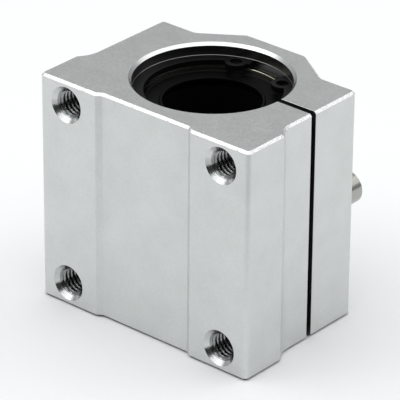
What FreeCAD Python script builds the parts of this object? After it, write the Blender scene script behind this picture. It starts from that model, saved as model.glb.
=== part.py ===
"""Adjustable linear bearing block for a 20 mm shaft, in millimetres.

A slit aluminium housing holds a recirculating ball bushing between two retaining rings, and a
clamp screw draws the slit together to set the bushing's play. The origin lies on the shaft's
axis, half way along the block. +Z runs along the shaft, -Y points out of the mounting face and
+X points to the side that is slit. The block stands on its lower end face.
"""
import FreeCAD, Part
import itertools
import math
import os

from FreeCAD import Vector

# Shaft and ball bushing
shaft_diameter = 20.0
ball_diameter = 3.175
raceway_gap = 0.02              # radial, loaded ball to raceway
raceway_wall = 2.785            # sleeve wall outside the raceway
end_bore_depth = 1.255          # radial, from the raceway to the wider bore at each end
bushing_length = 42.0
sleeve_seat_clearance = 0.02    # radial, between the sleeve and the housing's bore
sleeve_edge_chamfer = 0.6
sleeve_slit_width = 1.6

# Ball circuits
circuit_count = 5
first_load_angle = 130.0        # degrees from +X to the first loaded run
ramp_length = 2.7               # where the balls rise out of the raceway
turn_radius = 2.5               # half the distance between a circuit's two runs
return_lift = 1.01              # how much further out the returning balls run
ball_clearance = 0.05           # round a ball in its track
ball_gap = 0.02                 # least space between two balls in a turn

# Ball cage
cage_shaft_gap = 0.35           # radial, to the shaft
cage_sleeve_gap = 0.08          # radial, to the raceway
cage_end_wall = 2.15            # cage beyond its tracks, at each end
turn_sides = 6                  # straight sides that a half turn's wall is moulded with
slot_clearance = 0.15           # round a ball in the slot under its loaded run
slot_overshoot = 0.2            # how far a slot is cut past the cage's bore and past the track's floor

# Seal that closes the sleeve and holds the cage in it, one at each end
seal_depth = 0.75               # below the sleeve's end
seal_thickness = 2.2
seal_cage_gap = 0.06
seal_seat_clearance = 0.02      # radial, in the sleeve's end bore

# Housing
bushing_depth = 4.0             # housing's end face to the bushing's end
mounting_height = 21.0          # mounting face to the shaft's axis
flange_height = 35.0            # mounting face to the flanges' outer faces
crown_wall = 4.0                # over the bushing's bore
crown_width = 15.3
shoulder_width = 32.7           # between the feet of the crown's two slopes
side_strip_height = 10.6        # full-width strip beside the mounting face
side_step = 1.75
side_step_run = 4.0
recess_width = 24.6             # shallow recess between the mounting pads
recess_depth = 0.85
recess_flank_run = 1.2
outer_corner_radius = 1.0
crown_corner_radius = 1.5
shoulder_hollow_radius = 2.2
side_hollow_radius = 4.0
recess_hollow_radius = 0.8
end_chamfer = 0.6
bore_chamfer = 0.6
slit_width = 1.35
slit_offset = 0.6               # slit's middle above the shaft's axis, towards the crown

# Four tapped mounting holes
hole_spacing_across = 40.0
hole_spacing_along = 40.0
tap_drill_diameter = 5.0
hole_depth = 14.0
countersink_diameter = 7.8

# Clamp screw, with its axis along Y
screw_diameter = 4.0
screw_length = 20.0             # under the head
head_diameter = 7.0
head_height = 5.8
head_chamfer = 0.4
socket_across_flats = 3.0
socket_depth = 2.5
screw_bore_wall = 1.45          # between the bushing's bore and the screw's clearance hole
screw_hole_clearance = 0.25     # radial, above the slit
screw_thread_clearance = 0.05   # radial, below the slit
screw_seat_gap = 0.03           # under the head
screw_tip_room = 2.0            # hole beyond the screw's tip
spot_face_clearance = 0.5       # radial, round the head
screw_side_wall = 1.55           # between the spot face and the stepped side

# Retaining ring in the housing's bore, one at each end of the bushing
retainer_thickness = 1.2
retainer_width = 3.2            # radial, opposite the opening
retainer_taper = 0.6            # how much narrower it is at the opening
retainer_play = 0.05            # all round, in its groove
retainer_groove_depth = 0.85
retainer_opening_angle = 82.5   # direction of the opening, degrees from +X
retainer_half_opening = 17.0    # degrees
lug_half_angle = 28.5           # degrees from the opening's middle to a lug's hole
lug_radius = 2.3
lug_hole_diameter = 2.5
lug_reach = 4.8                 # from the groove's wall in to the lug's tip

# Sizes that follow from the ones above
half_bushing = bushing_length / 2
half_length = half_bushing + bushing_depth
shaft_radius = shaft_diameter / 2
ball_radius = ball_diameter / 2
load_radius = shaft_radius + ball_radius
return_radius = load_radius + return_lift
raceway_radius = shaft_radius + ball_diameter + raceway_gap
end_bore_radius = raceway_radius + end_bore_depth
sleeve_radius = raceway_radius + raceway_wall
bore_radius = sleeve_radius + sleeve_seat_clearance
track_radius = ball_radius + ball_clearance
seal_low = half_bushing - seal_depth - seal_thickness
cage_half_length = seal_low - seal_cage_gap
half_run = cage_half_length - cage_end_wall - track_radius - turn_radius
half_raceway = half_run - ramp_length
groove_radius = bore_radius + retainer_groove_depth
groove_width = retainer_thickness + 2 * retainer_play
face_y = -mounting_height
flange_y = face_y + flange_height
crown_y = bore_radius + crown_wall
slit_low = slit_offset - slit_width / 2
screw_x = bore_radius + screw_bore_wall + screw_hole_clearance + screw_diameter / 2
spot_radius = head_diameter / 2 + spot_face_clearance
side_x = screw_x + spot_radius + screw_side_wall
half_width = side_x + side_step
head_seat_y = flange_y + screw_seat_gap

Z_AXIS = Vector(0, 0, 1)
Y_AXIS = Vector(0, 1, 0)


def polar(radius, degrees, z=0.0):
    """Point at a radius and an angle from +X about the shaft's axis."""
    angle = math.radians(degrees)
    return Vector(radius * math.cos(angle), radius * math.sin(angle), z)


def rod(radius, low, high, x=0.0, y=0.0):
    """Cylinder along Z between two heights."""
    return Part.makeCylinder(radius, high - low, Vector(x, y, low), Z_AXIS)


def tube(inner, outer, low, high):
    """Round tube about the shaft's axis."""
    return rod(outer, low, high).cut(rod(inner, low - 1, high + 1))


def turned(profile):
    """Solid of revolution about the shaft's axis from (radius, z) points."""
    points = [Vector(radius, 0, z) for radius, z in profile]
    face = Part.Face(Part.makePolygon(points + points[:1]))
    return face.revolve(Vector(0, 0, 0), Z_AXIS, 360)


def chamfered_mouth(radius, size, end):
    """Cone that breaks the edge of a hole on the shaft's axis at one end, at z = end."""
    inward = Vector(0, 0, -1 if end > 0 else 1)
    return Part.makeCone(radius + size, radius, size, Vector(0, 0, end), inward)


def flat_sided(loops):
    """Solid whose faces are flat polygons, each from its corners."""
    faces = [Part.Face(Part.makePolygon(loop + loop[:1])) for loop in loops]
    return Part.Solid(Part.makeShell(faces))


def mirrored(shape):
    """The same piece at the other end of the block."""
    return shape.mirror(Vector(0, 0, 0), Z_AXIS)


def rounded_outline(corners):
    """Closed wire in the XY plane through (x, y, radius) corners, each rounded by its radius."""
    starts, ends, arcs = [], [], []
    for i, (x, y, radius) in enumerate(corners):
        here = Vector(x, y, 0)
        back = (Vector(*corners[i - 1][:2], 0) - here).normalize()
        ahead = (Vector(*corners[(i + 1) % len(corners)][:2], 0) - here).normalize()
        half = back.getAngle(ahead) / 2
        reach = radius / math.tan(half)
        starts.append(here + back * reach)
        ends.append(here + ahead * reach)
        middle = (back + ahead).normalize() * (radius / math.sin(half) - radius)
        arcs.append(Part.Arc(starts[i], here + middle, ends[i]).toShape() if radius else None)
    edges = []
    for i, arc in enumerate(arcs):
        if arc:
            edges.append(arc)
        edges.append(Part.LineSegment(ends[i], starts[(i + 1) % len(corners)]).toShape())
    return Part.Wire(edges)


def housing_outline():
    """Cross-section of the housing: pads, stepped sides, flanges and crown."""
    step_y = face_y + side_strip_height
    right = [
        (recess_width / 2 - recess_flank_run, face_y + recess_depth, recess_hollow_radius),
        (recess_width / 2, face_y, 0),
        (half_width, face_y, outer_corner_radius),
        (half_width, step_y, 0),
        (side_x, step_y + side_step_run, side_hollow_radius),
        (side_x, flange_y, outer_corner_radius),
        (shoulder_width / 2, flange_y, shoulder_hollow_radius),
        (crown_width / 2, crown_y, crown_corner_radius),
    ]
    left = [(-x, y, radius) for x, y, radius in reversed(right)]
    return rounded_outline(right + left)


def mounting_hole(x, z):
    """Blind tap-drill hole with its countersink, opening at the mounting face."""
    radius = tap_drill_diameter / 2
    sink_radius = countersink_diameter / 2
    mouth = Vector(x, face_y, z)
    drilled = Part.makeCylinder(radius, hole_depth, mouth, Y_AXIS)
    countersink = Part.makeCone(sink_radius, radius, sink_radius - radius, mouth, Y_AXIS)
    return drilled.fuse(countersink)


def clamp_screw_cuts():
    """Spot face, clearance hole above the slit and tapped hole below it."""
    tapped_radius = screw_diameter / 2 + screw_thread_clearance
    clear_radius = screw_diameter / 2 + screw_hole_clearance
    tip_y = head_seat_y - screw_length - screw_tip_room
    tapped = Part.makeCylinder(tapped_radius, slit_offset - tip_y, Vector(screw_x, tip_y, 0), Y_AXIS)
    clear = Part.makeCylinder(clear_radius, crown_y - slit_offset, Vector(screw_x, slit_offset, 0), Y_AXIS)
    spot = Part.makeCylinder(spot_radius, crown_y - flange_y, Vector(screw_x, flange_y, 0), Y_AXIS)
    return [tapped, clear, spot]


def housing():
    """Slit aluminium block with its bore, grooves, mounting holes and clamp screw holes."""
    outline = Part.Face(housing_outline())
    outline.translate(Vector(0, 0, -half_length))
    block = outline.extrude(Z_AXIS * 2 * half_length)
    rims = [e for e in block.Edges if abs(abs(e.CenterOfMass.z) - half_length) < 1e-6]
    block = block.makeChamfer(end_chamfer, rims)
    cuts = [rod(bore_radius, -half_length - 1, half_length + 1)]
    cuts.append(chamfered_mouth(bore_radius, bore_chamfer, half_length))
    cuts.append(chamfered_mouth(bore_radius, bore_chamfer, -half_length))
    cuts.append(rod(groove_radius, half_bushing, half_bushing + groove_width))
    cuts.append(rod(groove_radius, -half_bushing - groove_width, -half_bushing))
    slit_size = (half_width, slit_width, 2 * half_length + 2)
    cuts.append(Part.makeBox(*slit_size, Vector(0, slit_low, -half_length - 1)))
    for x in (-hole_spacing_across / 2, hole_spacing_across / 2):
        for z in (-hole_spacing_along / 2, hole_spacing_along / 2):
            cuts.append(mounting_hole(x, z))
    return block.cut(cuts + clamp_screw_cuts())


def clamp_screw():
    """Socket head cap screw that draws the slit together."""
    radius = screw_diameter / 2
    seat = Vector(screw_x, head_seat_y, 0)
    top = seat + Y_AXIS * head_height
    head_radius = head_diameter / 2
    body = Part.makeCylinder(head_radius, head_height - head_chamfer, seat, Y_AXIS)
    edge_at = top - Y_AXIS * head_chamfer
    edge = Part.makeCone(head_radius, head_radius - head_chamfer, head_chamfer, edge_at, Y_AXIS)
    shank = Part.makeCylinder(radius, screw_length, seat, -Y_AXIS)
    corner = socket_across_flats / math.sqrt(3)
    hexagon = [Vector(corner * math.cos(math.radians(60 * i)), 0, corner * math.sin(math.radians(60 * i)))
               for i in range(6)]
    socket = Part.Face(Part.makePolygon(hexagon + hexagon[:1])).extrude(Y_AXIS * (socket_depth + 1))
    socket.translate(top - Y_AXIS * socket_depth)
    return body.fuse([edge, shank]).cut(socket).removeSplitter()


def retaining_ring():
    """Open ring with two lugs, in its groove above the bushing."""
    low = half_bushing + retainer_play
    high = low + retainer_thickness
    outer = groove_radius - retainer_play
    inner = outer - retainer_width + retainer_taper / 2
    shift = polar(retainer_taper / 2, retainer_opening_angle)
    disc = rod(outer, low, high)
    band = disc.cut(rod(inner, low, high, shift.x, shift.y))
    ends = [polar(2 * outer, retainer_opening_angle + side * retainer_half_opening) for side in (-1, 1)]
    wedge = Part.Face(Part.makePolygon([Vector(0, 0, 0)] + ends + [Vector(0, 0, 0)]))
    wedge.translate(Z_AXIS * low)
    lugs, holes = [], []
    for side in (-1, 1):
        at = polar(outer - lug_reach + lug_radius, retainer_opening_angle + side * lug_half_angle)
        lugs.append(rod(lug_radius, low, high, at.x, at.y).common(disc))
        holes.append(rod(lug_hole_diameter / 2, low, high, at.x, at.y))
    opened = band.cut(wedge.extrude(Z_AXIS * retainer_thickness))
    return opened.fuse(lugs).cut(holes).removeSplitter()


def circuit_axes(index):
    """Directions of one circuit: outwards at its middle, and across from loaded to returning run."""
    lean = math.degrees(math.asin(turn_radius / load_radius))
    outward = polar(1, first_load_angle + 360.0 * index / circuit_count - lean)
    return outward, outward.cross(Z_AXIS)


def track_point(index, across, z, radius):
    """Point of a circuit at a distance across from its middle, at a height and a radius."""
    outward, sideways = circuit_axes(index)
    return outward * math.sqrt(radius ** 2 - across ** 2) + sideways * across + Z_AXIS * z


def racetrack(index, width, around):
    """Upright prism, outwards from the shaft's axis, over one circuit's runs and turns.

    The sides of its half turns lie around the true arc, or inside it.
    """
    outward, sideways = circuit_axes(index)
    step = math.pi / turn_sides
    if around:
        radius = width / math.cos(step / 2)
        angles = [(side + 0.5) * step for side in range(turn_sides)]
    else:
        radius = width
        angles = [side * step for side in range(turn_sides + 1)]
    loop = []
    for end in (1, -1):
        for angle in angles[::end]:
            z = end * (half_run + radius * math.sin(angle))
            loop.append(sideways * radius * math.cos(angle) + Z_AXIS * z)
    return Part.Face(Part.makePolygon(loop + loop[:1])).extrude(outward * (sleeve_radius + 1))


def load_slot(index):
    """Slot under a loaded run: it narrows towards the shaft, and its sloped ends lift the balls."""
    floor_radius = return_radius - track_radius
    inner_radius = shaft_radius + cage_shaft_gap
    slot_radius = ball_radius + slot_clearance
    loaded = track_point(index, -turn_radius, 0, load_radius).normalize()
    beside = loaded.cross(Z_AXIS)

    def rim(radius, half_width, half_slot):
        ends = [(-half_width, -half_slot), (half_width, -half_slot), (half_width, half_slot),
                (-half_width, half_slot)]
        return [loaded * radius + beside * across + Z_AXIS * z for across, z in ends]

    def half_width(radius):
        return math.sqrt(slot_radius ** 2 - (load_radius - radius) ** 2)

    lift = return_lift / ramp_length
    reach = math.hypot(1, lift) * slot_radius

    def half_slot(radius):
        return half_raceway + (radius - load_radius + reach) / lift

    below, above = inner_radius - slot_overshoot, floor_radius + slot_overshoot
    taper = (half_width(floor_radius) - half_width(inner_radius)) / (floor_radius - inner_radius)
    low = rim(below, half_width(inner_radius) - taper * slot_overshoot, half_slot(below))
    high = rim(above, half_width(floor_radius) + taper * slot_overshoot, half_slot(above))
    sides = [[low[i - 1], low[i], high[i], high[i - 1]] for i in range(4)]
    return flat_sided([low[::-1], high] + sides)


def track_pocket(index):
    """What one circuit takes out of the cage: a closed track, and an open slot under the loaded run."""
    island = racetrack(index, turn_radius - track_radius, around=False)
    channel = racetrack(index, turn_radius + track_radius, around=True).cut(island)
    floor = rod(return_radius - track_radius, -2 * half_run, 2 * half_run)
    return [channel.cut(floor), load_slot(index)]


def ball_solid(centre):
    """Ball as twenty flat facets with every corner on the ball's sphere."""
    golden = (1 + math.sqrt(5)) / 2
    scale = ball_radius / math.sqrt(1 + golden ** 2)
    corners = []
    for a in (-1, 1):
        for b in (-golden, golden):
            corners += [Vector(0, a, b), Vector(a, b, 0), Vector(b, 0, a)]
    edge_length = 2
    loops = []
    for trio in itertools.combinations(corners, 3):
        if all(abs(p.distanceToPoint(q) - edge_length) < 0.01 for p, q in itertools.combinations(trio, 2)):
            loops.append([centre + p * scale for p in trio])
    return flat_sided(loops)


def ball_centre(index, along):
    """Centre of the ball that is a given way round its circuit from the foot of the loaded run."""
    run, turn = 2 * half_run, math.pi * turn_radius
    if along < run:
        z = along - half_run
        rise = max(0.0, abs(z) - half_raceway) / ramp_length
        return track_point(index, -turn_radius, z, load_radius + return_lift * rise)
    if along < run + turn:
        angle = (along - run) / turn_radius
        z = half_run + turn_radius * math.sin(angle)
        return track_point(index, -turn_radius * math.cos(angle), z, return_radius)
    if along < 2 * run + turn:
        return track_point(index, turn_radius, half_run - (along - run - turn), return_radius)
    angle = (along - 2 * run - turn) / turn_radius
    z = -half_run - turn_radius * math.sin(angle)
    return track_point(index, turn_radius * math.cos(angle), z, return_radius)


def ball_circuit(index):
    """One circuit's balls, as many as its turns let through, evenly spaced."""
    lap = 4 * half_run + 2 * math.pi * turn_radius
    pitch = 2 * turn_radius * math.asin((ball_diameter + ball_gap) / (2 * turn_radius))
    count = int(lap / pitch)
    return Part.makeCompound([ball_solid(ball_centre(index, lap * i / count)) for i in range(count)])


def sleeve():
    """Hardened outer sleeve: raceway with return grooves, a wider bore at each end, and its slit."""
    chamfer = sleeve_edge_chamfer
    profile = [
        (raceway_radius, 0), (sleeve_radius, 0), (sleeve_radius, half_bushing - chamfer),
        (sleeve_radius - chamfer, half_bushing), (end_bore_radius, half_bushing),
        (end_bore_radius, half_raceway), (raceway_radius, half_raceway),
    ]
    body = turned(profile)
    body = body.fuse(mirrored(body)).removeSplitter()
    end_bore = rod(end_bore_radius, -half_raceway, half_raceway)
    cuts = []
    for index in range(circuit_count):
        outward, sideways = circuit_axes(index)
        inner, outer = sideways * (turn_radius - track_radius), sideways * (turn_radius + track_radius)
        foot = Z_AXIS * -half_raceway
        corners = [foot + inner, foot + outer, foot + outer + outward * sleeve_radius,
                   foot + inner + outward * sleeve_radius]
        groove = Part.Face(Part.makePolygon(corners + corners[:1])).extrude(Z_AXIS * 2 * half_raceway)
        cuts.append(groove.common(end_bore))
    slit_size = (sleeve_radius + 1, sleeve_slit_width, bushing_length + 2)
    slit_corner = Vector(0, slit_offset - sleeve_slit_width / 2, -half_bushing - 1)
    return body.cut(cuts + [Part.makeBox(*slit_size, slit_corner)])


def ball_cage():
    """Moulded cage with a track for each circuit, open to the shaft along the loaded run."""
    inner, outer = shaft_radius + cage_shaft_gap, raceway_radius - cage_sleeve_gap
    body = tube(inner, outer, -cage_half_length, cage_half_length)
    return body.cut([cut for index in range(circuit_count) for cut in track_pocket(index)])


def seal():
    """Wiper seal in the sleeve's end, with its lip on the shaft."""
    outer = end_bore_radius - seal_seat_clearance
    return tube(shaft_radius, outer, seal_low, seal_low + seal_thickness)


def save(name, shape):
    """Write one sub-part."""
    shape.exportStep(os.path.join("parts", name + ".step"))
    print(name, len(shape.Solids), "solids", round(shape.Volume, 1), "mm3", shape.isValid())


def main():
    os.makedirs("parts", exist_ok=True)
    save("housing", housing())
    save("clamp_screw", clamp_screw())
    save("retaining_ring_upper", retaining_ring())
    save("retaining_ring_lower", mirrored(retaining_ring()))
    save("bushing_sleeve", sleeve())
    save("ball_cage", ball_cage())
    for index in range(circuit_count):
        save(f"ball_circuit_{index + 1}", ball_circuit(index))
    save("seal_upper", seal())
    save("seal_lower", mirrored(seal()))


main()
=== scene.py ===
# %% [markdown]
# # A linear bearing block in Blender
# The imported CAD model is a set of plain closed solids: a slit aluminium block, a clamp screw, two
# retaining rings and a ball bushing. They set every size and place. This notebook dresses them: it
# builds smooth, finely edged meshes where the solids are plain, gives every finish a material made of
# nodes, and sets up the floor, the light and the camera. The frame is loaded first, because each step
# below reads its places from it.

# %% Load the frame
import bmesh
import bpy
import math
from mathutils import Matrix, Vector


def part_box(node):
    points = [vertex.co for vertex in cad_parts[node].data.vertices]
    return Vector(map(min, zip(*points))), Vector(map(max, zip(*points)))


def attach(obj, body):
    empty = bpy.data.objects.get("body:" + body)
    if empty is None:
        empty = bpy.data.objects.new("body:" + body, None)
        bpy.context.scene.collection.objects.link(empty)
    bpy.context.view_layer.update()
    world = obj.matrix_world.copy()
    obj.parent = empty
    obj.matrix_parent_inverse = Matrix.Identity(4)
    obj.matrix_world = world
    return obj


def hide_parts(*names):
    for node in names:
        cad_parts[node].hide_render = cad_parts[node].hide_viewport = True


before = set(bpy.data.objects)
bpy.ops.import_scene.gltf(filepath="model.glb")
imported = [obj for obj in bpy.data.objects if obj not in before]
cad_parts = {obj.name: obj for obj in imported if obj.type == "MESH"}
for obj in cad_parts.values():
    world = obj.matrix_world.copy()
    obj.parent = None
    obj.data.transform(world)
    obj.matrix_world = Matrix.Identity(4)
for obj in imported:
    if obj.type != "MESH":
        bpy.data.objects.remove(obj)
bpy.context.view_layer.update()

mm = 0.001

# %% [markdown]
# ## Sizes
# The block stands on one end: Z runs along the shaft, -Y points out of the mounting face, and +X is
# the side with the slit. Sizes could all be typed in, but then they would drift apart from the CAD
# model, so those that a box can tell are read from the frame. The few that it can't, such as a
# corner's radius, are named in millimetres times `mm` where a step first needs them.

# %% Sizes from the frame
housing_low, housing_high = (Vector(corner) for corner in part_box("housing"))
half_width, half_length = housing_high.x, housing_high.z
face_y, crown_y = housing_low.y, housing_high.y
screw_low, screw_high = (Vector(corner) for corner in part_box("clamp_screw"))
screw_x = (screw_low.x + screw_high.x) / 2
ring_low, ring_high = (Vector(corner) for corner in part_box("retaining_ring_upper"))
seal_low, seal_high = (Vector(corner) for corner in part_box("seal_upper"))
sleeve_high = Vector(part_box("bushing_sleeve")[1])
sleeve_radius, half_sleeve = sleeve_high.x, sleeve_high.z
print("Block", [round(v / mm, 2) for v in (2 * half_width, crown_y - face_y, 2 * half_length)], "mm")

# %% [markdown]
# ## Helpers for outlines and turned pieces
# Most pieces here are either extruded, like the block, or turned on a lathe, like the seals. Both
# start as a closed outline with rounded corners. A Bevel modifier could round the edges afterwards,
# but it stumbles where cuts meet. So one helper rounds the corners of the outline itself, and can
# also draw it a little further in, which is what a chamfer needs. Every edge then has a real radius
# that catches the light.

# %% Helper: rounded outline
def rounded_outline(corners, inset=0.0, steps=8):
    """Points of a counter-clockwise polygon of (x, y, radius) corners, moved in by inset."""
    points = []
    for i, (x, y, radius) in enumerate(corners):
        here = Vector((x, y))
        back = (Vector(corners[i - 1][:2]) - here).normalized()
        ahead = (Vector(corners[(i + 1) % len(corners)][:2]) - here).normalized()
        half = back.angle(ahead) / 2
        convex = 1 if back.x * ahead.y - back.y * ahead.x < 0 else -1
        bisector = (back + ahead).normalized()
        if radius <= convex * inset:
            points += [here + bisector * convex * inset / math.sin(half)] * (steps + 1)
            continue
        centre = here + bisector * radius / math.sin(half)
        sweep = convex * (math.pi - 2 * half)
        for step in range(steps + 1):
            turn = Matrix.Rotation(sweep * (step / steps - 0.5), 2)
            points.append(centre + turn @ -bisector * (radius - convex * inset))
    return points


# %% Helper: mesh objects
def new_object(name, verts, faces, material=None):
    """Mesh object whose faces all point outwards."""
    mesh = bpy.data.meshes.new(name)
    mesh.from_pydata([tuple(v) for v in verts], [], faces)
    bm = bmesh.new()
    bm.from_mesh(mesh)
    bmesh.ops.remove_doubles(bm, verts=bm.verts, dist=1e-7)
    bmesh.ops.recalc_face_normals(bm, faces=bm.faces)
    bm.to_mesh(mesh)
    bm.free()
    piece = bpy.data.objects.new(name, mesh)
    bpy.context.scene.collection.objects.link(piece)
    if material:
        mesh.materials.append(material)
    return piece


# %% Helpers: extruded and turned solids
def lofted(name, rings, material):
    """Closed solid through rings of equally many points, with a flat cap at each end."""
    count = len(rings[0])
    verts = [v for ring in rings for v in ring]
    faces = [list(range(count))[::-1], [len(verts) - count + i for i in range(count)]]
    for level in range(len(rings) - 1):
        for i in range(count):
            j = (i + 1) % count
            low, high = level * count, (level + 1) * count
            faces.append([low + i, low + j, high + j, high + i])
    return new_object(name, verts, faces, material)


def prism(name, points, direction, material):
    """Prism from a flat polygon of points, extruded by a vector."""
    return lofted(name, [points, [Vector(p) + Vector(direction) for p in points]], material)


def spindle(name, profile, material, steps=192):
    """Closed solid about the Z axis through (radius, z) points from one end to the other."""
    angles = [2 * math.pi * step / steps for step in range(steps)]
    rings = [[(r * math.cos(a), r * math.sin(a), z) for a in angles] for r, z in profile]
    return lofted(name, rings, material)


def turned(name, profile, material, steps=160):
    """Ring about the Z axis from a closed outline of (radius, z) points."""
    count = len(profile)
    verts, faces = [], []
    for step in range(steps):
        angle = 2 * math.pi * step / steps
        verts += [(r * math.cos(angle), r * math.sin(angle), z) for r, z in profile]
    for step in range(steps):
        near, far = step * count, (step + 1) % steps * count
        for i in range(count):
            j = (i + 1) % count
            faces.append([near + i, near + j, far + j, far + i])
    return new_object(name, verts, faces, material)


# %% Helpers: modifiers made final
def settle(piece):
    """Replace a piece's mesh by what its modifiers make of it."""
    bpy.context.view_layer.update()
    evaluated = piece.evaluated_get(bpy.context.evaluated_depsgraph_get())
    mesh = bpy.data.meshes.new_from_object(evaluated)
    piece.modifiers.clear()
    piece.data = mesh
    mesh.name = piece.name


def carve(piece, cutter, operation="DIFFERENCE"):
    """Cut or join two closed meshes, and throw the second one away."""
    modifier = piece.modifiers.new("carve", "BOOLEAN")
    modifier.operation = operation
    modifier.object = cutter
    modifier.solver = "EXACT"
    modifier.material_mode = "TRANSFER"
    settle(piece)
    bpy.data.objects.remove(cutter)


def smooth(piece, degrees=32):
    """Round shading across gentle edges, with flat faces kept flat by weighted normals."""
    piece.data.shade_smooth()
    piece.data.set_sharp_from_angle(angle=math.radians(degrees))
    modifier = piece.modifiers.new("weighted", "WEIGHTED_NORMAL")
    modifier.keep_sharp = True
    settle(piece)


# %% Helper: hand a piece to the frame
def hand_over(piece, body, node):
    """Put a finished piece on its body's empty, hide the CAD node that it stands for, and print its faces.
    """
    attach(piece, body)
    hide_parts(node)
    print(piece.name, "has", len(piece.data.polygons), "faces")


# %% [markdown]
# ## Node trees in Python
# Materials, the world and Geometry Nodes are all node trees. Each could be drawn in the node editor,
# but a script gives the same tree every time. A small helper adds a node, sets it up, and either
# links each input or gives it a value, and another does so for a sum.

# %% Helpers: nodes
def add(tree, kind, inputs=None, **settings):
    """Node with its settings and inputs; an input is a value or another node's socket."""
    node = tree.nodes.new(kind)
    for key, value in settings.items():
        setattr(node, key, value)
    for key, value in (inputs or {}).items():
        if isinstance(value, bpy.types.NodeSocket):
            tree.links.new(value, node.inputs[key])
        else:
            node.inputs[key].default_value = value
    return node


def calc(tree, operation, *values):
    """Output of a Math node."""
    return add(tree, "ShaderNodeMath", dict(enumerate(values)), operation=operation).outputs[0]


# %% [markdown]
# ## Materials
# Every finish here is a metal, a rubber or a plastic, so one helper makes them all: a Principled
# shader whose roughness, brightness and surface height wander a little. The pattern sits on Object
# coordinates, so it stays put when a piece moves. Blasted aluminium has a fine even grain with a
# faint sparkle, on broad clouds that are a little lighter and darker. A turned or drawn surface needs
# a grain that is stretched along the tool's path, which a different scale per axis gives.

# %% Helper: surface finish
cloud_size = 6 * mm


def surface(name, color, metallic, roughness, spread=0.05, grain=0.2 * mm, stretch=(1, 1, 1),
            bump=0.0, relief=0.03 * mm, tint=0.0, speckle=0.0, gloss=0.5):
    """Principled material whose roughness, brightness and height follow a fine noise.

    Roughness goes up and down by spread. Brightness goes up and down by tint from cloud to cloud and
    by speckle from grain to grain. Bump is the strength of the height, and relief its distance.
    """
    material = bpy.data.materials.new(name)
    material.use_nodes = True
    tree = material.node_tree
    shader = tree.nodes["Principled BSDF"].inputs
    shader["Metallic"].default_value = metallic
    shader["Specular IOR Level"].default_value = gloss
    place = add(tree, "ShaderNodeTexCoord").outputs["Object"]
    stretched = add(tree, "ShaderNodeMapping", {"Vector": place, "Scale": stretch}).outputs["Vector"]
    grains = add(tree, "ShaderNodeTexNoise", {
        "Vector": stretched, "Scale": 1 / grain, "Detail": 3}).outputs["Fac"]
    clouds = add(tree, "ShaderNodeTexNoise", {"Vector": place, "Scale": 1 / cloud_size}).outputs["Fac"]
    rough = add(tree, "ShaderNodeMapRange", {
        "Value": grains, "To Min": max(0.0, roughness - spread), "To Max": roughness + spread})
    tree.links.new(rough.outputs["Result"], shader["Roughness"])
    shade = color
    for pattern, strength in ((clouds, tint), (grains, speckle)):
        level = add(tree, "ShaderNodeMapRange", {
            "Value": pattern, "From Min": 0.3, "From Max": 0.7,
            "To Min": 1 - strength, "To Max": 1 + strength}).outputs["Result"]
        shade = add(tree, "ShaderNodeVectorMath", {0: shade, "Scale": level}, operation="SCALE").outputs[0]
    tree.links.new(shade, shader["Base Color"])
    if bump:
        height = add(tree, "ShaderNodeBump", {"Height": grains, "Strength": bump, "Distance": relief})
        tree.links.new(height.outputs["Normal"], shader["Normal"])
    return material


# %% Aluminium as it is blasted, turned and cut, plus painted-highlight and painted-shade copies for chamfers, slit, bore and threads
blasted_aluminium = surface("blasted_aluminium", (0.66, 0.675, 0.67), 1, 0.4, 0.12, 0.45 * mm,
                            bump=1.0, relief=0.06 * mm, tint=0.03, speckle=0.04)
# Painted highlight: a brighter copy of the aluminium for the upper chamfers, standing in for light from
# above.
upper_chamfer_painted_highlight = surface("upper_chamfer_painted_highlight", (0.85, 0.86, 0.87), 1, 0.3, 0.1, 0.45 * mm,
                         bump=1.0, relief=0.16 * mm, speckle=0.08)
# Painted shade: a dark copy of the aluminium for the lower chamfers, in shadow at the floor, and for the
# slit's walls in the gap.
slit_and_foot_painted_shade = surface("slit_and_foot_painted_shade", (0.15, 0.155, 0.155), 1, 0.4, 0.1, 0.3 * mm, (1, 1, 0.1),
                         bump=0.4)
turned_aluminium = surface("turned_aluminium", (0.72, 0.73, 0.74), 1, 0.25, 0.06, 0.15 * mm, bump=0.3)
# Painted shade: the bore's wall is painted dark, as the recess is in shade.
bore_painted_shade = surface("bore_painted_shade", (0.22, 0.22, 0.22), 1, 0.3, 0.05, 0.1 * mm, (0.05, 0.05, 1),
                          bump=0.2)
cut_aluminium = surface("cut_aluminium", (0.6, 0.61, 0.61), 1, 0.15, 0.08, 0.12 * mm, (0.3, 1, 0.3),
                        bump=0.9)
# Painted shade: the threads in the tapped holes are painted dark, as the holes are in shade.
thread_painted_shade = surface("thread_painted_shade", (0.3, 0.31, 0.31), 1, 0.15, 0.06, 0.12 * mm, bump=0.4)
print(len(bpy.data.materials), "materials so far")

# %% Steel, plastic and rubber
plated_steel = surface("plated_steel", (0.4, 0.395, 0.375), 1, 0.2, 0.05, 0.15 * mm, bump=0.1)
ground_steel = surface("ground_steel", (0.65, 0.62, 0.54), 1, 0.16, 0.05, 0.1 * mm, (0.05, 0.05, 1),
                       bump=0.1)
ball_steel = surface("ball_steel", (0.8, 0.8, 0.82), 1, 0.06, 0.02, 0.3 * mm)
black_steel = surface("black_steel", (0.004, 0.004, 0.004), 0, 0.35, 0.08, 0.15 * mm, bump=0.3, gloss=0.12)
cage_plastic = surface("cage_plastic", (0.002, 0.002, 0.002), 0, 0.5, 0.08, bump=0.2, gloss=0.1)
seal_rubber = surface("seal_rubber", (0.002, 0.002, 0.002), 0, 0.4, 0.08, 0.15 * mm, bump=0.2, gloss=0.06)
print(len(bpy.data.materials), "materials in all")

# %% [markdown]
# ## Geometry Nodes
# What repeats is made by Geometry Nodes: the thread's turns in four holes, the thread on the screw,
# and the balls. Each tree has a named input for every size, so one tree serves several pieces. A
# modifier's input is set by its identifier, the result is made a plain mesh, and the modifier goes.

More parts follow.
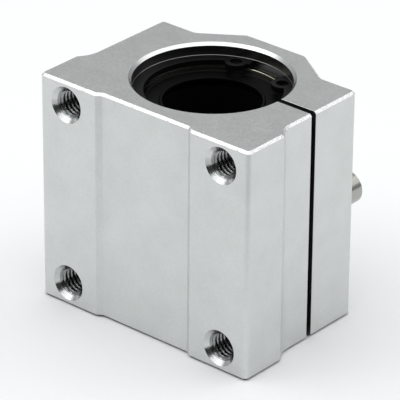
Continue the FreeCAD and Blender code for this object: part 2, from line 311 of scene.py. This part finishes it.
# %% Helpers: geometry trees
def new_tree(name, sockets):
    """Geometry Nodes tree with a geometry input and output and one named input per size."""
    tree = bpy.data.node_groups.new(name, "GeometryNodeTree")
    tree.interface.new_socket("Geometry", in_out="INPUT", socket_type="NodeSocketGeometry")
    tree.interface.new_socket("Geometry", in_out="OUTPUT", socket_type="NodeSocketGeometry")
    for label, kind in sockets.items():
        tree.interface.new_socket(label, in_out="INPUT", socket_type="NodeSocket" + kind)
    return tree, tree.nodes.new("NodeGroupInput").outputs


def end_tree(tree, geometry, material):
    """Realize Instances and Set Material, then the output."""
    real = add(tree, "GeometryNodeRealizeInstances", {"Geometry": geometry}).outputs[0]
    coated = add(tree, "GeometryNodeSetMaterial", {"Geometry": real, "Material": material}).outputs[0]
    add(tree, "NodeGroupOutput", {"Geometry": coated})
    print(tree.name, "tree has", len(tree.nodes), "nodes")


def grow(name, tree, values, verts=()):
    """New object made by a tree from its named values, turned into a plain mesh."""
    mesh = bpy.data.meshes.new(name)
    mesh.from_pydata([tuple(v) for v in verts], [], [])
    piece = bpy.data.objects.new(name, mesh)
    bpy.context.scene.collection.objects.link(piece)
    modifier = piece.modifiers.new("nodes", "NODES")
    modifier.node_group = tree
    for item in tree.interface.items_tree:
        if item.in_out == "INPUT" and item.name in values:
            modifier[item.identifier] = values[item.name]
    settle(piece)
    return piece


# %% [markdown]
# ## The thread
# A screw thread is a V-shaped ridge that climbs one pitch with each turn. It could be swept along a
# helix, but its ends are then hard to close. Here a cylinder with many rows of points is used: each
# point's radius depends on how far it is along the pitch at its own angle. The result is closed from
# the start, so it can cut a tapped hole. The same tree makes the screw's thread. Where the hole's
# countersink is wider than the thread, the countersink wins, and the thread runs out in it as it
# does on a real part.

# %% Thread tree: a rod of many rows, with one end at the origin
thread, size = new_tree("thread", {
    "Length": "Float", "Pitch": "Float", "Crest radius": "Float", "Root radius": "Float",
    "Mouth radius": "Float", "Plain length": "Float", "Rows": "Int", "Across": "Float",
    "Along": "Float", "Material": "Material",
})
rod = add(thread, "GeometryNodeMeshCylinder", {
    "Vertices": 56, "Side Segments": size["Rows"], "Radius": 1.0, "Depth": size["Length"]})
half_up = add(thread, "ShaderNodeCombineXYZ", {"Z": calc(thread, "MULTIPLY", size["Length"], 0.5)})
moved = add(thread, "GeometryNodeTransform", {
    "Geometry": rod.outputs["Mesh"], "Translation": half_up.outputs[0]}).outputs[0]
print("thread inputs:", [socket.name for socket in size if socket.name])

# %% Thread tree: how far along the pitch each point is, and its radius there
at = add(thread, "ShaderNodeSeparateXYZ", {0: add(thread, "GeometryNodeInputPosition").outputs[0]}).outputs
turn = calc(thread, "DIVIDE", calc(thread, "ARCTAN2", at["Y"], at["X"]), 2 * math.pi)
climb = calc(thread, "DIVIDE", at["Z"], size["Pitch"])
phase = calc(thread, "FRACT", calc(thread, "SUBTRACT", climb, turn))
ridge = calc(thread, "MULTIPLY", calc(thread, "ABSOLUTE", calc(thread, "SUBTRACT", phase, 0.5)), 2.0)
threaded = add(thread, "ShaderNodeMapRange", {
    "Value": ridge, "From Min": 0.2, "From Max": 0.86,
    "To Min": size["Root radius"], "To Max": size["Crest radius"]}).outputs[0]
plain = calc(thread, "LESS_THAN", at["Z"], size["Plain length"])
bare = calc(thread, "SUBTRACT", 1.0, plain)
radius = calc(thread, "ADD", calc(thread, "MULTIPLY", threaded, bare),
              calc(thread, "MULTIPLY", size["Root radius"], plain))
below_mouth = calc(thread, "SUBTRACT", size["Length"], at["Z"])
mouth = calc(thread, "SUBTRACT", size["Mouth radius"], below_mouth)
wide = calc(thread, "MAXIMUM", radius, mouth)
print("thread tree so far:", len(thread.nodes), "nodes")

# %% Thread tree: shaped rod, copied to the corners of a rectangle
spread_out = add(thread, "ShaderNodeCombineXYZ", {
    "X": calc(thread, "MULTIPLY", at["X"], wide), "Y": calc(thread, "MULTIPLY", at["Y"], wide),
    "Z": at["Z"]}).outputs[0]
shaped = add(thread, "GeometryNodeSetPosition", {"Geometry": moved, "Position": spread_out}).outputs[0]
grid = add(thread, "GeometryNodeMeshGrid", {
    "Size X": size["Across"], "Size Y": size["Along"], "Vertices X": 2, "Vertices Y": 2}).outputs[0]
# A rectangle without a size has all its corners at one place, which makes a single copy.
spots = add(thread, "GeometryNodeMergeByDistance", {"Geometry": grid, "Distance": 0.5 * mm}).outputs[0]
copies = add(thread, "GeometryNodeInstanceOnPoints", {"Points": spots, "Instance": shaped}).outputs[0]
end_tree(thread, copies, size["Material"])

# %% [markdown]
# ## The housing
# The real housing is a sawn length of extruded aluminium: two pads and a shallow recess on the
# mounting face, stepped sides, flanges and a crown over the bore. Its outline is extruded with a
# chamfer at each end, in the same way as the real one gets its shape. Then the bore with its two ring
# grooves, the slit, the screw's hole and the four tapped holes are cut out of it with booleans. Each
# cutter carries its own material, so that a cut surface looks machined while the skin stays blasted;
# the bore, the threads and the slit walls are painted darker as painted shade. The chamfer of the
# upper end is painted bright as a painted highlight, and that of the lower end dark as painted shade.

# %% Sizes of the cross-section
flange_y = face_y + 35.0 * mm
crown_half_width = 7.65 * mm
shoulder_half_width = 16.35 * mm
side_strip_height = 10.6 * mm
side_step, side_step_run = 1.75 * mm, 1.8 * mm
recess_half_width, recess_depth, recess_flank_run = 12.3 * mm, 0.85 * mm, 1.2 * mm
corner_round, crown_round, barely_round = 1.0 * mm, 1.5 * mm, 0.12 * mm
recess_hollow, side_hollow, shoulder_hollow = 0.8 * mm, 6.0 * mm, 2.2 * mm
end_chamfer = 0.5 * mm
side_x = half_width - side_step
print("Flanges reach x", round(side_x / mm, 2), "and y", round(flange_y / mm, 2), "mm")

# %% Housing outline
def housing_ring(z, inset):
    """Cross-section of the housing at a height, counter-clockwise from the recess."""
    step_y = face_y + side_strip_height
    right = [
        (recess_half_width - recess_flank_run, face_y + recess_depth, recess_hollow),
        (recess_half_width, face_y, barely_round),
        (half_width, face_y, corner_round),
        (half_width, step_y, barely_round),
        (side_x, step_y + side_step_run, side_hollow),
        (side_x, flange_y, corner_round),
        (shoulder_half_width, flange_y, shoulder_hollow),
        (crown_half_width, crown_y, crown_round),
    ]
    left = [(-x, y, radius) for x, y, radius in reversed(right)]
    return [(x, y, z) for x, y in rounded_outline(right + left, inset)]


# %% Housing blank, with a painted highlight on its upper end chamfer and painted shade on its lower one
inner_z = half_length - end_chamfer
housing = lofted("housing_block", [
    housing_ring(-half_length, end_chamfer), housing_ring(-inner_z, 0),
    housing_ring(inner_z, 0), housing_ring(half_length, end_chamfer)], blasted_aluminium)
housing.data.materials.append(upper_chamfer_painted_highlight)
housing.data.materials.append(slit_and_foot_painted_shade)
# Chamfers facing up get the painted highlight, chamfers facing down the painted shade.
for face in housing.data.polygons:
    if 0.3 < abs(face.normal.z) < 0.95:
        face.material_index = 1 if face.normal.z > 0 else 2
print("housing blank has", len(housing.data.polygons), "faces")

# %% Bore with its ring grooves
past = 1.0 * mm
bore_radius, groove_radius, bore_chamfer, groove_burr = 16.0 * mm, 16.85 * mm, 0.6 * mm, 0.06 * mm
groove_low, groove_high = half_sleeve, half_sleeve + 1.3 * mm
wall_radius = bore_radius + groove_burr
half_profile = [
    (wall_radius, half_length + past), (wall_radius, groove_high + 2 * groove_burr),
    (bore_radius, groove_high + groove_burr), (bore_radius, groove_high),
    (groove_radius, groove_high), (groove_radius, groove_low), (bore_radius, groove_low),
]
wall = half_profile + [(r, -z) for r, z in reversed(half_profile)]
# The bore's wall gets painted shade.
carve(housing, spindle("bore_cutter", wall[::-1], bore_painted_shade))
for end in (-1, 1):
    flare = [(wall_radius, end * (half_length - bore_chamfer)),
             (wall_radius + bore_chamfer + past, end * (half_length + past))]
    carve(housing, spindle("chamfer_cutter", flare, turned_aluminium))
print("bore cut:", len(housing.data.polygons), "faces")

# %% Slit
slit_width, slit_middle = 1.35 * mm, 0.6 * mm
slit_low, slit_high = slit_middle - slit_width / 2, slit_middle + slit_width / 2
slit_end = half_length + past
slot = [(0, slit_low, -slit_end), (half_width, slit_low, -slit_end),
        (half_width, slit_high, -slit_end), (0, slit_high, -slit_end)]
# The slit's walls get the painted shade of the dark aluminium.
carve(housing, prism("slit_cutter", slot, (0, 0, 2 * slit_end), slit_and_foot_painted_shade))
print("slit cut:", len(housing.data.polygons), "faces")

# %% Deburred edges of the slit, along the side and across both ends
slit_burr = 0.03 * mm
wide_low, wide_high = slit_low - slit_burr - past, slit_high + slit_burr + past
side_edge = [(side_x + past, wide_low, -slit_end), (side_x + past, wide_high, -slit_end),
             (side_x - slit_burr, slit_high, -slit_end), (side_x - slit_burr, slit_low, -slit_end)]
carve(housing, prism("slit_side_cutter", side_edge, (0, 0, 2 * slit_end), cut_aluminium))
for end in (-1, 1):
    z_out, z_in = end * slit_end, end * (half_length - slit_burr)
    end_edge = [(0, wide_low, z_out), (0, wide_high, z_out), (0, slit_high, z_in), (0, slit_low, z_in)]
    carve(housing, prism("slit_end_cutter", end_edge, (half_width, 0, 0), cut_aluminium))
print("slit deburred:", len(housing.data.polygons), "faces")

# %% Clamp screw's hole: tapped below the slit, clear above it
def rod_along_y(name, radius, low_y, high_y, steps=64):
    """Cutter for a drilled hole on the clamp screw's axis."""
    angles = [2 * math.pi * i / steps for i in range(steps)]
    rings = [[(screw_x + radius * math.cos(a), y, -radius * math.sin(a)) for a in angles]
             for y in (low_y, high_y)]
    return lofted(name, rings, cut_aluminium)


tip_room = 2.0 * mm
screw_radius = 2.0 * mm
tapped_radius, clear_radius = screw_radius + 0.05 * mm, screw_radius + 0.25 * mm
carve(housing, rod_along_y("tapped_cutter", tapped_radius, screw_low.y - tip_room, slit_middle))
carve(housing, rod_along_y("clearance_cutter", clear_radius, slit_middle, crown_y))
print("screw hole cut:", len(housing.data.polygons), "faces")

# %% Cutter for the four tapped holes
hole_depth, hole_spacing = 14.0 * mm, 40 * mm
mouth_overlap = 0.3 * mm
tap_crest = 3.04 * mm
taps = grow("tap_cutter", thread, {
    "Length": hole_depth + mouth_overlap, "Pitch": 1.0 * mm, "Crest radius": tap_crest,
    "Root radius": 2.5 * mm, "Mouth radius": 3.9 * mm + mouth_overlap, "Plain length": 2.0 * mm,
    "Rows": 230, "Across": hole_spacing, "Along": hole_spacing, "Material": cut_aluminium})
taps.data.materials.clear()
taps.data.materials.append(cut_aluminium)
taps.data.materials.append(thread_painted_shade)
# Faces of the thread get the painted shade; the countersinks keep the cut finish.
for face in taps.data.polygons:
    across, along = (abs(abs(v) - hole_spacing / 2) for v in face.center[:2])
    face.material_index = int(math.hypot(across, along) < tap_crest + 0.01 * mm)
taps.data.transform(Matrix.Translation((0, face_y + hole_depth, 0)) @ Matrix.Rotation(math.pi / 2, 4, "X"))
print("tap cutter has", len(taps.data.polygons), "faces")

# %% Finished housing
carve(housing, taps)
smooth(housing)
hand_over(housing, "block", "housing")

# %% [markdown]
# ## The clamp screw
# A socket head cap screw: a turned head with a small chamfer, a hexagon socket and a threaded shank.
# A thread drawn only as bump would leave a plain pin in the mesh, so the shank is the thread
# tree again, with the screw's own sizes. The head is turned from an outline and its socket is cut, as
# for the housing. All is built along Z, the easiest way to turn, and then laid along Y.

# %% Screw's head with its socket
head_height, head_radius = 5.8 * mm, (screw_high.x - screw_low.x) / 2
head_chamfer, seat_round = 0.4 * mm, 0.15 * mm
head_profile = [(head_radius - seat_round, 0), (head_radius, seat_round),
                (head_radius, head_height - head_chamfer), (head_radius - head_chamfer, head_height)]
screw = spindle("clamp_screw_steel", head_profile, plated_steel, 96)
socket_flats, socket_depth = 3.0 * mm, 2.5 * mm
socket_radius = socket_flats / math.sqrt(3)
sixths = [math.radians(60 * i) for i in range(6)]
hexagon = [(socket_radius * math.cos(a), socket_radius * math.sin(a), head_height - socket_depth)
           for a in sixths]
carve(screw, prism("socket_cutter", hexagon, (0, 0, 2 * socket_depth), plated_steel))
print("head and socket:", len(screw.data.polygons), "faces")

# %% Screw's shank, and the screw in its place
shank_length = screw_high.y - head_height - screw_low.y
shank = grow("shank", thread, {
    "Length": shank_length + 0.5 * mm, "Pitch": 0.7 * mm, "Crest radius": 1.98 * mm,
    "Root radius": 1.6 * mm, "Mouth radius": 0.0, "Plain length": 0.0, "Rows": 300,
    "Across": 0.0, "Along": 0.0, "Material": plated_steel})
shank.data.transform(Matrix.Translation((0, 0, -shank_length)))
carve(screw, shank, "UNION")
seat = Matrix.Translation((screw_x, screw_high.y - head_height, 0))
screw.data.transform(seat @ Matrix.Rotation(-math.pi / 2, 4, "X"))
smooth(screw)
hand_over(screw, "screw", "clamp_screw")

# %% [markdown]
# ## The retaining rings
# Each is stamped from spring steel: an open band that is widest opposite its opening, with a lug and
# a plier hole near each end. Booleans of discs would do, but a flat curve is the quickest way to such
# a stamping, because Blender fills it, extrudes it and rounds its edges in one go. The outline is
# worked out from circles: where the lugs' circles cross the band's inner circle, it changes over.

# %% Sizes of a retaining ring
ring_outer, ring_inner, ring_shift = 16.8 * mm, 13.9 * mm, 0.3 * mm
opening_angle, half_opening, lug_half_angle = (math.radians(a) for a in (82.5, 17.0, 28.5))
lug_circle_radius, lug_radius, lug_hole_radius = 14.3 * mm, 2.3 * mm, 1.25 * mm
edge_round = 0.1 * mm


def polar(radius, angle):
    """Flat vector of a length in a direction."""
    return radius * Vector((math.cos(angle), math.sin(angle)))


ring_centre, inner_centre = Vector((0, 0)), polar(ring_shift, opening_angle)
lugs = [polar(lug_circle_radius, opening_angle + side * lug_half_angle) for side in (1, -1)]
print("lug holes at", [[round(v / mm, 2) for v in lug] for lug in lugs], "mm")

# %% Helpers: arcs and where circles cross
def arc(centre, radius, start, stop, steps):
    """Points of an arc, both ends included."""
    return [centre + polar(radius, start + (stop - start) * i / steps) for i in range(steps + 1)]


def crossing(centre, radius, other, other_radius, pick):
    """Angles, seen from each of two circles' centres, of the point where they cross."""
    apart = other - centre
    along = (apart.length_squared + radius ** 2 - other_radius ** 2) / (2 * apart.length)
    beside = math.sqrt(radius ** 2 - along ** 2)
    sideways = Vector((-apart.y, apart.x)).normalized()
    point = centre + apart.normalized() * along + sideways * beside * pick
    first, second = point - centre, point - other
    return math.atan2(first.y, first.x), math.atan2(second.y, second.x)


def unwrap(angle, after):
    """The same angle, brought to the first turn after another one."""
    return after + (angle - after) % (2 * math.pi)


# %% Ring outline: round the outer edge, and back along the inner edge and the lugs
def ring_outline():
    """Points of the ring's outline, counter-clockwise along its outer edge."""
    left, right = lugs
    left_near, left_near_lug = crossing(inner_centre, ring_inner, left, lug_radius, -1)
    left_far, left_far_lug = crossing(inner_centre, ring_inner, left, lug_radius, 1)
    right_near, right_near_lug = crossing(inner_centre, ring_inner, right, lug_radius, 1)
    right_far, right_far_lug = crossing(inner_centre, ring_inner, right, lug_radius, -1)
    left_end, right_end = opening_angle + half_opening, opening_angle - half_opening
    points = arc(ring_centre, ring_outer, left_end, right_end + 2 * math.pi, 180)
    points += arc(inner_centre, ring_inner, right_end, right_near, 6)
    points += arc(right, lug_radius, right_near_lug, unwrap(right_far_lug, right_near_lug), 24)[1:]
    points += arc(inner_centre, ring_inner, right_far, left_far - 2 * math.pi, 140)[1:]
    points += arc(left, lug_radius, left_far_lug, unwrap(left_near_lug, left_far_lug), 24)[1:]
    points += arc(inner_centre, ring_inner, left_near, left_end, 6)[1:]
    return points


# %% Helper: flat stamping
def flat_stamping(name, outlines, thickness, middle_z, material):
    """Filled and extruded flat outlines with rounded edges, as a mesh."""
    curve = bpy.data.curves.new(name, "CURVE")
    curve.dimensions = "2D"
    curve.fill_mode = "BOTH"
    curve.extrude = thickness / 2 - edge_round
    curve.bevel_depth = edge_round
    curve.bevel_resolution = 2
    curve.offset = -edge_round
    for points in outlines:
        spline = curve.splines.new("POLY")
        spline.points.add(len(points) - 1)
        for spot, (x, y) in zip(spline.points, points):
            spot.co = (x, y, 0, 1)
        spline.use_cyclic_u = True
    holder = bpy.data.objects.new(name, curve)
    bpy.context.scene.collection.objects.link(holder)
    bpy.context.view_layer.update()
    mesh = bpy.data.meshes.new_from_object(holder.evaluated_get(bpy.context.evaluated_depsgraph_get()))
    bpy.data.objects.remove(holder)
    verts = [v.co + Vector((0, 0, middle_z)) for v in mesh.vertices]
    return new_object(name, verts, [list(p.vertices) for p in mesh.polygons], material)


# %% Both retaining rings
lug_holes = [arc(lug, lug_hole_radius, 0, -2 * math.pi, 32)[:-1] for lug in lugs]
for end, label in ((1, "upper"), (-1, "lower")):
    ring = flat_stamping(f"ring_{label}", [ring_outline()] + lug_holes, ring_high.z - ring_low.z,
                         end * (ring_low.z + ring_high.z) / 2, black_steel)
    smooth(ring, 50)
    hand_over(ring, "block", f"retaining_ring_{label}")

# %% [markdown]
# ## The bushing's sleeve
# A hardened steel tube, ground outside, with a wider bore at each end, an opening along one side over
# the slit, and a groove for each circuit's returning balls. A Solidify modifier on a cylinder would
# give it one wall thickness only, so it is turned from its outline with real edge radii, then slit
# and grooved. The grooves follow the ball circuits, whose sizes therefore come first.

# %% Sizes of the ball circuits
shaft_radius, ball_radius = 10.0 * mm, 1.5875 * mm
circuit_count, balls_in_circuit = 5, 18
load_radius = shaft_radius + ball_radius
return_lift, ramp_length, turn_radius = 1.01 * mm, 2.7 * mm, 2.5 * mm
track_radius = ball_radius + 0.05 * mm
first_load_angle = math.radians(130)
half_raceway = 9.0 * mm


def circuit_axes(circuit):
    """Directions of a circuit: outwards through its middle, and across to its returning run."""
    lean = math.asin(turn_radius / load_radius)
    angle = first_load_angle + 2 * math.pi * circuit / circuit_count - lean
    outward = Vector((math.cos(angle), math.sin(angle), 0))
    return outward, outward.cross(Vector((0, 0, 1)))


print(circuit_count, "circuits of", balls_in_circuit, "balls")

# %% Bushing sleeve, turned and slit
raceway_radius, end_bore_radius = 13.195 * mm, 14.45 * mm
corner, fine_round = 0.6 * mm, 0.1 * mm
half_outline = [
    (sleeve_radius, half_sleeve - corner, fine_round), (sleeve_radius - corner, half_sleeve, fine_round),
    (end_bore_radius, half_sleeve, fine_round), (end_bore_radius, half_raceway, 0),
    (raceway_radius, half_raceway, fine_round),
]
sleeve_outline = half_outline + [(r, -z, radius) for r, z, radius in reversed(half_outline)]
sleeve = turned("bushing_steel", rounded_outline(sleeve_outline, 0, 4), ground_steel)
opening = 1.6 * mm
low_y, high_y = slit_middle - opening / 2, slit_middle + opening / 2
slot = [(0, low_y, -half_length), (half_width, low_y, -half_length),
        (half_width, high_y, -half_length), (0, high_y, -half_length)]
carve(sleeve, prism("sleeve_slit_cutter", slot, (0, 0, 2 * half_length), ground_steel))
print("sleeve turned and slit:", len(sleeve.data.polygons), "faces")

# %% Return grooves in the sleeve
floor_radius, groove_end = end_bore_radius - 0.01 * mm, half_raceway + 0.5 * mm
spans = [turn_radius + track_radius * (1 - i / 4) for i in range(9)]
section = [(x, math.sqrt(floor_radius ** 2 - x ** 2)) for x in spans]
section += [(spans[-1], load_radius), (spans[0], load_radius)]
for circuit in range(circuit_count):
    outward, sideways = circuit_axes(circuit)
    groove = [outward * out + sideways * x - Vector((0, 0, groove_end)) for x, out in section]
    carve(sleeve, prism("groove_cutter", groove, (0, 0, 2 * groove_end), ground_steel))
smooth(sleeve)
hand_over(sleeve, "block", "bushing_sleeve")

# %% [markdown]
# ## The balls
# Each of the five circuits is a closed track: a loaded run along the shaft, a half turn, a returning
# run further out, and another half turn. Balls could be dropped into the track by a simulation, but a
# formula is exact: the centres are worked out along the track, and a small tree puts one ball on
# each. The formula is the CAD model's, so every ball lands where its solid is.

# %% Ball centres
half_run = half_raceway + ramp_length
lap = 4 * half_run + 2 * math.pi * turn_radius


def ball_centre(circuit, along):
    """Centre of the ball that is a given way round its circuit."""
    outward, sideways = circuit_axes(circuit)
    run, turn = 2 * half_run, math.pi * turn_radius
    radius = load_radius + return_lift
    if along < run:
        across, z = -turn_radius, along - half_run
        radius = load_radius + return_lift * max(0.0, abs(z) - half_raceway) / ramp_length
    elif along < run + turn:
        swing = (along - run) / turn_radius
        across, z = -turn_radius * math.cos(swing), half_run + turn_radius * math.sin(swing)
    elif along < 2 * run + turn:
        across, z = turn_radius, half_run - (along - run - turn)
    else:
        swing = (along - 2 * run - turn) / turn_radius
        across, z = turn_radius * math.cos(swing), -half_run - turn_radius * math.sin(swing)
    return outward * math.sqrt(radius ** 2 - across ** 2) + sideways * across + Vector((0, 0, z))


print("one lap is", round(lap / mm, 2), "mm, a ball every", round(lap / balls_in_circuit / mm, 3), "mm")

# %% Ball tree
ball_tree, size = new_tree("balls", {"Radius": "Float", "Material": "Material"})
ball = add(ball_tree, "GeometryNodeMeshIcoSphere", {"Radius": size["Radius"], "Subdivisions": 3}).outputs[0]
round_ball = add(ball_tree, "GeometryNodeSetShadeSmooth", {"Geometry": ball}).outputs[0]
placed = add(ball_tree, "GeometryNodeInstanceOnPoints", {
    "Points": size["Geometry"], "Instance": round_ball}).outputs[0]
end_tree(ball_tree, placed, size["Material"])

# %% Balls
for circuit in range(circuit_count):
    centres = [ball_centre(circuit, lap * i / balls_in_circuit) for i in range(balls_in_circuit)]
    balls = grow(f"ball_run_{circuit + 1}", ball_tree,
                 {"Radius": ball_radius, "Material": ball_steel}, centres)
    hand_over(balls, "block", f"ball_circuit_{circuit + 1}")

# %% [markdown]
# ## The seals and the cage
# A moulded rubber ring closes each end of the bushing: a raised rim in the sleeve, a dished face and a
# thin lip that wipes the shaft. Sculpting is for shapes without a rule, and here one turned outline
# makes all of that. The cage behind it is hardly seen, so its CAD solid stays and only gets its
# moulded finish.

# %% Seals
seal_outer, seal_base, seal_top = seal_high.x, seal_low.z, seal_high.z
seal_outline = [
    (seal_outer, seal_base, 0.1 * mm), (seal_outer, seal_top, 0.15 * mm),
    (seal_outer - 0.9 * mm, seal_top, 0.15 * mm),
    (seal_outer - 1.1 * mm, seal_top - 0.25 * mm, 0.1 * mm),
    (shaft_radius + 0.7 * mm, seal_top - 0.45 * mm, 0.1 * mm),
    (shaft_radius + 0.35 * mm, seal_top - 0.2 * mm, 0.1 * mm),
    (shaft_radius, seal_top - 0.2 * mm, 0.05 * mm), (shaft_radius, seal_top - 0.6 * mm, 0.05 * mm),
    (shaft_radius + 0.8 * mm, seal_top - 1.1 * mm, 0.1 * mm),
    (shaft_radius + 0.8 * mm, seal_base, 0.1 * mm),
]
seal_profile = rounded_outline(seal_outline, 0, 4)
for end, label in ((1, "upper"), (-1, "lower")):
    seal = turned(f"wiper_{label}", [(r, end * z) for r, z in seal_profile], seal_rubber)
    smooth(seal)
    hand_over(seal, "block", f"seal_{label}")

# %% Cage
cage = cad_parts["ball_cage"]
cage.material_slots[0].material = cage_plastic
print(cage.name, "gets", cage_plastic.name)

# %% [markdown]
# ## Floor and light
# The block stands on a white sheet in soft studio light. Metal shows what is opposite it, so the look
# of the block is made by its surroundings more than by lamps. The world is a tent: bright overhead,
# dimmer towards the horizon, which the block's top reflects, and dark in front and low down, as a
# studio is behind the camera, which gives the threads and countersinks their contrast. The sheet goes
# on for ever, so that it is pale from every side, but far in front of the block it is painted darker
# for reflections only: a painted reflection of shade on the lower sides of the block. Two wide area
# lamps give the chamfers their bright lines.

# %% Floor
front_way = (0.645, -0.764, 0)
reach = 3
floor = new_object("floor", [(x, y, -half_length) for x, y in (
    (-reach, -reach), (reach, -reach), (reach, reach), (-reach, reach))], [[0, 1, 2, 3]])
paper = bpy.data.materials.new("paper")
paper.use_nodes = True
paper_tree = paper.node_tree
shader = paper_tree.nodes["Principled BSDF"].inputs
shader["Roughness"].default_value = 0.8
place = add(paper_tree, "ShaderNodeTexCoord").outputs["Object"]
ahead = add(paper_tree, "ShaderNodeVectorMath", {0: place, 1: front_way}, operation="DOT_PRODUCT")
# Painted reflection: the sheet is darker far in front, for glossy rays only, to shade the block's lower
# sides.
reflected_shade_ahead = add(paper_tree, "ShaderNodeMapRange", {
    "Value": ahead.outputs["Value"], "From Min": 70 * mm, "From Max": 120 * mm}).outputs["Result"]
mirrored = add(paper_tree, "ShaderNodeLightPath").outputs["Is Glossy Ray"]
sheet = add(paper_tree, "ShaderNodeMix", {
    "Factor": calc(paper_tree, "MULTIPLY", reflected_shade_ahead, mirrored)}, data_type="RGBA")
sheet.inputs["A"].default_value = (0.9, 0.91, 0.915, 1)
sheet.inputs["B"].default_value = (0.66, 0.66, 0.66, 1)
paper_tree.links.new(sheet.outputs["Result"], shader["Base Color"])
floor.data.materials.append(paper)
print("floor", 2 * reach, "m wide at z", round(-half_length / mm, 2), "mm")

# %% World: brighter with height
world = bpy.data.worlds.new("studio")
world.use_nodes = True
bpy.context.scene.world = world
sky = world.node_tree
direction = add(sky, "ShaderNodeTexCoord").outputs["Generated"]
tilted = add(sky, "ShaderNodeVectorMath", {0: direction, 1: (0.05, -0.15, 0.99)}, operation="DOT_PRODUCT")
ramp = add(sky, "ShaderNodeValToRGB", {"Fac": tilted.outputs["Value"]})
brightest = 1.6
levels = {0.0: 0.3, 0.15: 0.45, 0.5: 0.48, 0.66: 0.85, 0.8: brightest}
for height, level in levels.items():
    stop = ramp.color_ramp.elements.new(height) if height else ramp.color_ramp.elements[0]
    gray = level / brightest
    stop.color = (0.985 * gray, gray, gray, 1)
print("world levels by height:", levels)

# %% World: dark in front, low down
forward = add(sky, "ShaderNodeVectorMath", {0: direction, 1: front_way}, operation="DOT_PRODUCT")
front = add(sky, "ShaderNodeMapRange", {
    "Value": forward.outputs["Value"], "From Min": 0.4, "From Max": 0.75}).outputs["Result"]
up_way = add(sky, "ShaderNodeSeparateXYZ", {0: direction}).outputs["Z"]
low = add(sky, "ShaderNodeMapRange", {
    "Value": up_way, "From Min": 0.72, "From Max": 0.55}).outputs["Result"]
strength = add(sky, "ShaderNodeMapRange", {
    "Value": calc(sky, "MULTIPLY", front, low), "To Min": brightest, "To Max": 0.1 * brightest})
background = sky.nodes["Background"].inputs
sky.links.new(ramp.outputs["Color"], background["Color"])
sky.links.new(strength.outputs["Result"], background["Strength"])
print("world tree has", len(sky.nodes), "nodes")

# %% Lamps
def soft_lamp(name, toward, distance, size, radiance):
    """Square lamp in a direction from the block, facing it, with the brightness of its surface."""
    lamp = bpy.data.lights.new(name, "AREA")
    lamp.size = size
    lamp.energy = radiance * math.pi * size ** 2
    holder = bpy.data.objects.new(name, lamp)
    holder.location = Vector(toward).normalized() * distance
    holder.rotation_euler = Vector(toward).to_track_quat("Z", "Y").to_euler()
    bpy.context.scene.collection.objects.link(holder)
    print(name, "gives", round(lamp.energy, 2), "W")


soft_lamp("key_lamp", (-0.577, -0.46, 0.683), 1.0, 0.6, 0.9)
soft_lamp("rim_lamp", (0.46, 0.683, 0.577), 1.0, 0.6, 0.85)

# %% [markdown]
# ## Camera
# A long lens from the front right and above, as parts catalogues use: the further away the camera
# stands, the less the block's upright edges lean together. A Track To constraint would aim it, but
# its direction is given by an azimuth and an elevation here, because it also has a slight roll.

# %% Camera
azimuth, elevation, roll = (math.radians(a) for a in (40.468, 27.422, 0.469))
back = Vector((math.sin(azimuth) * math.cos(elevation), -math.cos(azimuth) * math.cos(elevation),
               math.sin(elevation)))
right = Vector((math.cos(azimuth), math.sin(azimuth), 0))
up = back.cross(right)
rolled_right = right * math.cos(roll) + up * math.sin(roll)
rolled_up = up * math.cos(roll) - right * math.sin(roll)
lens = bpy.data.cameras.new("camera")
lens.sensor_width = 36
lens.lens = 304.3
lens.clip_start = 0.01
camera = bpy.data.objects.new("camera", lens)
turned_to_block = Matrix((rolled_right, rolled_up, back)).transposed().to_4x4()
camera.matrix_world = Matrix.Translation((0.38985, -0.46049, 0.31067)) @ turned_to_block
bpy.context.scene.collection.objects.link(camera)
bpy.context.scene.camera = camera
bpy.context.scene.view_settings.view_transform = "Standard"
print("camera", round(camera.matrix_world.translation.length, 3), "m away")
